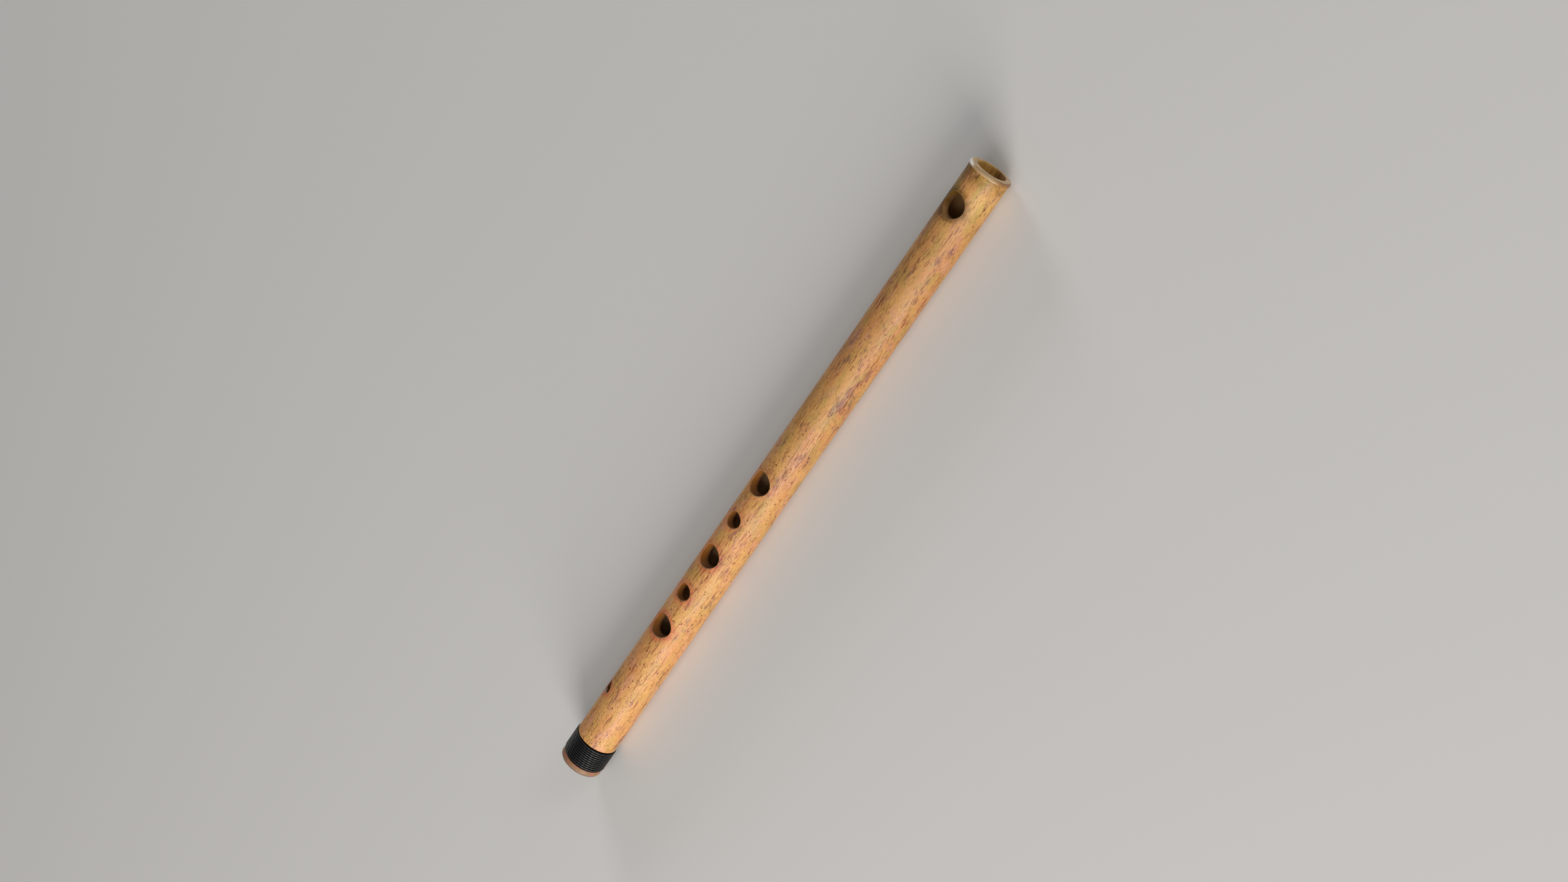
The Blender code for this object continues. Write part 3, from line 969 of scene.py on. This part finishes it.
def culm_material(distance):
    """Which material the skin has at a distance from the head: pale rims at both ends."""
    if distance < RIDGE_DISTANCE + RIM_REACH or distance > LENGTH - RIDGE_DISTANCE:
        return RIM
    return SKIN


def bore_material(_distance):
    return INSIDE


def shifted(windows, rows):
    """The windows once a number of rows stands before theirs."""
    return [(first + rows, last + rows, across) for first, last, across in windows]


def skin_path():
    """The culm's outside as (distance, radius), from the head's face to the foot's, and its windows."""
    head_rim = rim_path(HEAD_FACE_RADIUS, HEAD_RIDGE_RADIUS, HEAD_FLARE, HEAD_RADIUS)
    foot_rim = rim_path(FOOT_FACE_RADIUS, FOOT_RIDGE_RADIUS, FOOT_FLARE, tube_radius(LENGTH))
    start = head_rim[-1][0]
    distances, windows = plain_rows(start, SEAT_START - SEAT_EASE, OUTER_STEP, OUTER_CELLS)
    path = head_rim[:-1] + [(distance, tube_radius(distance)) for distance in distances]
    path += [(SEAT_START - SEAT_BREAK_ALONG, tube_radius(SEAT_START) - SEAT_BREAK_DEEP)]
    path += [(SEAT_START, tube_radius(SEAT_START) - SEAT_EASE), (SEAT_START, SEAT_RADIUS)]
    path += [(SEAT_END, SEAT_RADIUS), (SEAT_END, tube_radius(SEAT_END) - SEAT_EASE)]
    path += [(SEAT_END + SEAT_EASE, tube_radius(SEAT_END))]
    path += mirrored(foot_rim)
    return path, shifted(windows, len(head_rim) - 1)


def bore_path():
    """The bore as (distance, radius), from the head's mouth to the foot's, and its windows."""
    mouth = mouth_path()
    start = mouth[-1][0]
    distances, windows = plain_rows(start, LENGTH - start, INNER_STEP, INNER_CELLS)
    path = mouth[:-1] + [(distance, BORE_RADIUS) for distance in distances] + mirrored(mouth[:-1])
    return path, shifted(windows, len(mouth) - 1)


def make_culm():
    shape = bmesh.new()
    outer_rows, outer_borders = turned_skin(shape, *skin_path(), culm_material)
    inner_rows, inner_borders = turned_skin(shape, *bore_path(), bore_material)
    join_rings(shape, outer_rows[0], inner_rows[0], RIM)
    join_rings(shape, outer_rows[-1], inner_rows[-1], RIM)
    for hole, bore_end, outer_border, inner_border in zip(HOLES, BORE_ENDS, outer_borders, inner_borders):
        outer_ring, outer_bearings = hole_rings(shape, hole, outer_border, outer_radius, EDGE_EASE, 1)
        inner_ring, inner_bearings = hole_rings(shape, bore_end, inner_border, inner_radius, INNER_EASE, -1)
        hole_wall(shape, hole, bore_end, outer_ring, outer_bearings, inner_ring, inner_bearings)
    bmesh.ops.recalc_face_normals(shape, faces=shape.faces)
    culm = finished_piece("culm", shape, (bamboo_skin(), bamboo_rim(), bamboo_inside(), bamboo_hole_wall()))
    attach(culm, "flute")
    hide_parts("bamboo_tube")


def finished_piece(name, shape, materials):
    for face in shape.faces:
        face.smooth = True
    mesh = bpy.data.meshes.new(name)
    shape.to_mesh(mesh)
    shape.free()
    for material in materials:
        mesh.materials.append(material)
    piece = bpy.data.objects.new(name, mesh)
    bpy.context.scene.collection.objects.link(piece)
    return piece


# ---------------------------------------------------------------- the binding


def cord_section(turned):
    """The cord after so many turns: the angle, distance and radius of its middle, and its thickness share."""
    from_end = min(turned, TURNS - turned)
    tucked = max(0.0, 1 - from_end / TUCK_TURNS)
    tucked = tucked * tucked * (3 - 2 * tucked)
    inward = 1 if turned < TURNS / 2 else -1
    angle = CORD_START - 2 * math.pi * turned
    slack = noise.noise(Vector((math.cos(angle), math.sin(angle), turned * SLACK_CHANGE)))
    radius = BINDING_RADIUS - CORD_THICKNESS / 2 - tucked * TUCK_DEPTH
    distance = BINDING_START + PITCH * turned + CORD_SLACK * slack + inward * tucked * TUCK_SHIFT
    return angle, distance, radius, 1 - TUCK_THINNING * tucked


def make_binding():
    shape = bmesh.new()
    length = TURNS * 2 * math.pi * (BINDING_RADIUS - CORD_THICKNESS / 2)
    sections = round(length / CORD_STEP)
    rings = []
    for section in range(sections + 1):
        part = section / sections
        angle, distance, radius, size = cord_section(TURNS * part)
        twist = 2 * math.pi * part * length / PLY_TWIST
        ring = []
        for side in range(CORD_SIDES):
            way = 2 * math.pi * side / CORD_SIDES
            bulge = 1 - PLY_DEPTH * (0.5 - 0.5 * math.cos(PLIES * way - twist))
            rise = CORD_THICKNESS / 2 * math.cos(way) * bulge * size
            shift = CORD_WIDTH / 2 * math.sin(way) * bulge * size
            ring.append(shape.verts.new(skin_point(distance + shift, angle, radius + rise)))
        rings.append(ring)
    for before, after in zip(rings, rings[1:]):
        join_rings(shape, before, after, 0)
    shape.faces.new(rings[0])
    shape.faces.new(rings[-1])
    bmesh.ops.recalc_face_normals(shape, faces=shape.faces)
    cord = finished_piece("binding", shape, (waxed_cord(),))
    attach(cord, "flute")
    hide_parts("foot_binding")


# ---------------------------------------------------------------- the stopper


def stopper_path():
    """(distance from the outer face, radius) over the cork, from beside one face's middle to the other's."""
    length = STOPPER_HIGH[0] - STOPPER_LOW[0]
    edge = STOPPER_RADIUS - STOPPER_CHAMFER
    path = [(0.0, edge * index / STOPPER_RINGS) for index in range(1, STOPPER_RINGS + 1)]
    for step in range(1, CHAMFER_STEPS + 1):
        angle = math.pi / 2 * step / CHAMFER_STEPS
        path.append((STOPPER_CHAMFER * (1 - math.cos(angle)), edge + STOPPER_CHAMFER * math.sin(angle)))
    front = list(path)
    path += [(distance, STOPPER_RADIUS) for distance in evenly(STOPPER_CHAMFER, length / 2, STOPPER_RINGS)]
    back = [(length - distance, radius) for distance, radius in reversed(front)]
    path += [(length - distance, radius) for distance, radius in reversed(path[len(front):-1])]
    return path + back


def make_stopper():
    shape = bmesh.new()
    outer_face = HEAD_X - STOPPER_HIGH[0]
    rings = []
    for distance, radius in stopper_path():
        points = [skin_point(outer_face + distance, column * CELL_ANGLE, radius) for column in range(AROUND)]
        rings.append([shape.verts.new(point) for point in points])
    for before, after in zip(rings, rings[1:]):
        join_rings(shape, before, after, 0)
    for ring, place in ((rings[0], STOPPER_HIGH[0]), (rings[-1], STOPPER_LOW[0])):
        middle = shape.verts.new((place, 0.0, AXIS_HEIGHT))
        for index in range(AROUND):
            shape.faces.new((ring[index], ring[(index + 1) % AROUND], middle))
    bmesh.ops.recalc_face_normals(shape, faces=shape.faces)
    dent_cork(shape)
    plug = finished_piece("cork_plug", shape, (cork(),))
    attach(plug, "stopper")
    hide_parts("head_stopper")


def dent_cork(shape):
    """Pores and hollows, only ever pressed inwards, so that the plug keeps its size."""
    shape.normal_update()
    moves = []
    for vertex in shape.verts:
        place = vertex.co / MM
        hollow = 0.5 + 0.5 * noise.noise(place * HOLLOW_SCALE)
        pore = max(0.0, noise.noise(place * PORE_SCALE) - PORE_LEVEL)
        moves.append((vertex, -vertex.normal * (HOLLOW_DEPTH * hollow + PORE_DEPTH * pore)))
    for vertex, move in moves:
        vertex.co += move


make_studio()
make_culm()
make_binding()
make_stopper()
